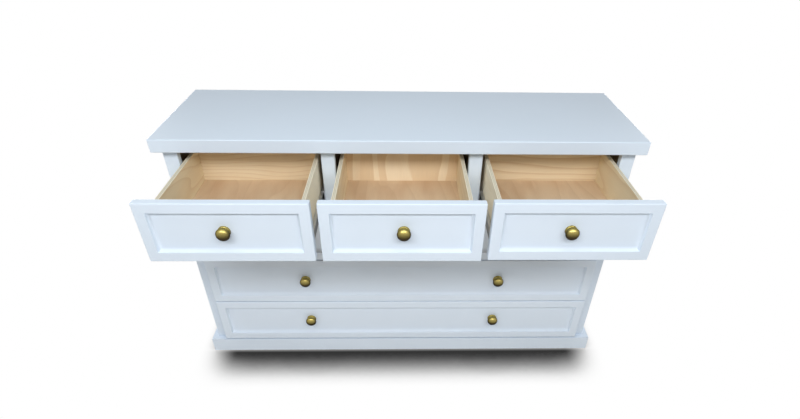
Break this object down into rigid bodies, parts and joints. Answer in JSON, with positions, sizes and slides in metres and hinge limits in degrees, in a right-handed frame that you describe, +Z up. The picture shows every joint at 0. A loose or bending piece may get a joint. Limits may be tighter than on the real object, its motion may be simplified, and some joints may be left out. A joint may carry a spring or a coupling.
{
  "type": "chest of drawers",
  "caption": "Wide low painted chest of drawers: small drawers over full-width ones, framed fronts, round brass knobs, plinth base and thick top slab.",
  "frame": {"origin": "on the floor, in the middle of the bounding box with the small drawers pulled out as at rest", "axes": "+X to the right seen from the front, +Y from the drawer fronts to the back, +Z up"},
  "size_m": [1.51, 0.7538, 0.9],
  "materials": {
    "white_paint": "satin white paint on wood",
    "pine_ply": "clear matt lacquer on plywood",
    "bare_board": "raw board",
    "zinc_steel": "bright zinc plate",
    "antique_brass": "brushed antique brass"
  },
  "bodies": {
    "cabinet": {"top_slab": "white_paint", "side_panel_left": "white_paint", "side_panel_right": "white_paint", "back_panel": "bare_board", "floor_board": "bare_board", "stile_left": "white_paint", "stile_right": "white_paint", "divider_left": "white_paint", "divider_right": "white_paint", "cross_rails": "white_paint", "partitions": "bare_board", "shelf": "bare_board", "plinth_front": "white_paint", "plinth_left": "white_paint", "plinth_right": "white_paint", "plinth_back": "bare_board", "runner_cleats": "bare_board", "cabinet_runners": "zinc_steel"},
    "top_left_drawer": {"top_left_front": "white_paint", "top_left_side_left": "pine_ply", "top_left_side_right": "pine_ply", "top_left_back": "pine_ply", "top_left_bottom": "pine_ply", "top_left_knob": "antique_brass", "top_left_runners": "zinc_steel"},
    "top_middle_drawer": {"top_middle_front": "white_paint", "top_middle_side_left": "pine_ply", "top_middle_side_right": "pine_ply", "top_middle_back": "pine_ply", "top_middle_bottom": "pine_ply", "top_middle_knob": "antique_brass", "top_middle_runners": "zinc_steel"},
    "top_right_drawer": {"top_right_front": "white_paint", "top_right_side_left": "pine_ply", "top_right_side_right": "pine_ply", "top_right_back": "pine_ply", "top_right_bottom": "pine_ply", "top_right_knob": "antique_brass", "top_right_runners": "zinc_steel"},
    "upper_wide_drawer": {"upper_wide_front": "white_paint", "upper_wide_side_left": "pine_ply", "upper_wide_side_right": "pine_ply", "upper_wide_back": "pine_ply", "upper_wide_bottom": "pine_ply", "upper_wide_knob": "antique_brass", "upper_wide_runners": "zinc_steel"},
    "middle_wide_drawer": {"middle_wide_front": "white_paint", "middle_wide_side_left": "pine_ply", "middle_wide_side_right": "pine_ply", "middle_wide_back": "pine_ply", "middle_wide_bottom": "pine_ply", "middle_wide_knob": "antique_brass", "middle_wide_runners": "zinc_steel"},
    "lower_wide_drawer": {"lower_wide_front": "white_paint", "lower_wide_side_left": "pine_ply", "lower_wide_side_right": "pine_ply", "lower_wide_back": "pine_ply", "lower_wide_bottom": "pine_ply", "lower_wide_knob": "antique_brass", "lower_wide_runners": "zinc_steel"}
  },
  "joints": [
    {"name": "top_left_drawer_slide", "type": "slide", "parent": "cabinet", "child": "top_left_drawer", "axis": [0, -1, 0], "range_m": [-0.298, 0]},
    {"name": "top_middle_drawer_slide", "type": "slide", "parent": "cabinet", "child": "top_middle_drawer", "axis": [0, -1, 0], "range_m": [-0.298, 0]},
    {"name": "top_right_drawer_slide", "type": "slide", "parent": "cabinet", "child": "top_right_drawer", "axis": [0, -1, 0], "range_m": [-0.293, 0.005]},
    {"name": "upper_wide_drawer_slide", "type": "slide", "parent": "cabinet", "child": "upper_wide_drawer", "axis": [0, -1, 0], "range_m": [0, 0.298]},
    {"name": "middle_wide_drawer_slide", "type": "slide", "parent": "cabinet", "child": "middle_wide_drawer", "axis": [0, -1, 0], "range_m": [0, 0.298]},
    {"name": "lower_wide_drawer_slide", "type": "slide", "parent": "cabinet", "child": "lower_wide_drawer", "axis": [0, -1, 0], "range_m": [0, 0.298]}
  ]
}
